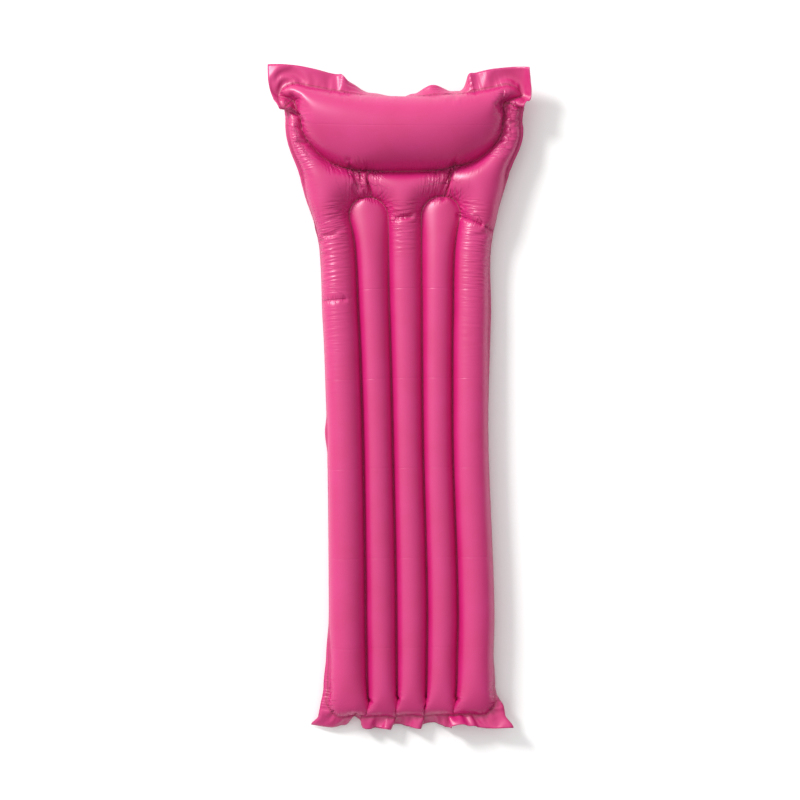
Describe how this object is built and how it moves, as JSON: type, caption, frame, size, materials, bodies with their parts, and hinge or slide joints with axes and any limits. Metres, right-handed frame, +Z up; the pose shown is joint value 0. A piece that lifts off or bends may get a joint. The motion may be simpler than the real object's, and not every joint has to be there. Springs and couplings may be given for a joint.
{
  "type": "inflatable pool air mattress",
  "caption": "Inflated pool air mattress of pink vinyl film: lengthwise tubes, a curved pillow across the head end, flat welded edges and two push-in valves.",
  "frame": {"origin": "on the ground under the middle of the mattress's outline", "axes": "+Z up, +Y towards the pillow, +X to the right of someone who looks down on it with the pillow at the top"},
  "size_m": [0.6846, 1.764, 0.1349],
  "materials": {
    "film_upper": "satin",
    "film_lower": "satin",
    "soft_white_vinyl": "satin",
    "clear_vinyl": "gloss"
  },
  "bodies": {
    "mattress": {"tubes_top_sheet": "film_upper", "tubes_bottom_sheet": "film_lower", "main_valve_neck": "soft_white_vinyl"},
    "pillow": {"pillow_top_sheet": "film_upper", "pillow_bottom_sheet": "film_lower", "pillow_valve_neck": "soft_white_vinyl"},
    "main_stem": {"main_valve_stem": "soft_white_vinyl"},
    "main_stopper": {"main_valve_stopper": "soft_white_vinyl"},
    "main_flap": {"main_valve_flap": "clear_vinyl"},
    "pillow_stem": {"pillow_valve_stem": "soft_white_vinyl"},
    "pillow_stopper": {"pillow_valve_stopper": "soft_white_vinyl"},
    "pillow_flap": {"pillow_valve_flap": "clear_vinyl"}
  },
  "joints": [
    {"name": "pillow_fold", "type": "hinge", "parent": "mattress", "child": "pillow", "pos_m": [0, 0.606, 0.067], "axis": [1, 0, 0], "range_deg": [-15, 30], "stiffness_Nm_per_rad": 3},
    {"name": "main_stem_slide", "type": "slide", "parent": "mattress", "child": "main_stem", "axis": [-0.7071, 0, -0.7071], "range_m": [0, 0.01]},
    {"name": "main_stopper_swing", "type": "hinge", "parent": "main_stem", "child": "main_stopper", "pos_m": [-0.22981, 0.466, 0.02588], "axis": [0, 1, 0], "range_deg": [0, 165]},
    {"name": "main_flap_swing", "type": "hinge", "parent": "main_stem", "child": "main_flap", "pos_m": [-0.20846, 0.466, 0.02786], "axis": [0, 1, 0], "range_deg": [0, 60], "stiffness_Nm_per_rad": 0.0005},
    {"name": "pillow_stem_slide", "type": "slide", "parent": "pillow", "child": "pillow_stem", "axis": [0, 0.7071, -0.7071], "range_m": [0, 0.01]},
    {"name": "pillow_stopper_swing", "type": "hinge", "parent": "pillow_stem", "child": "pillow_stopper", "pos_m": [0.12, 0.80215, 0.03327], "axis": [1, 0, 0], "range_deg": [0, 165]},
    {"name": "pillow_flap_swing", "type": "hinge", "parent": "pillow_stem", "child": "pillow_flap", "pos_m": [0.12, 0.78079, 0.03525], "axis": [1, 0, 0], "range_deg": [0, 60], "stiffness_Nm_per_rad": 0.0005}
  ]
}
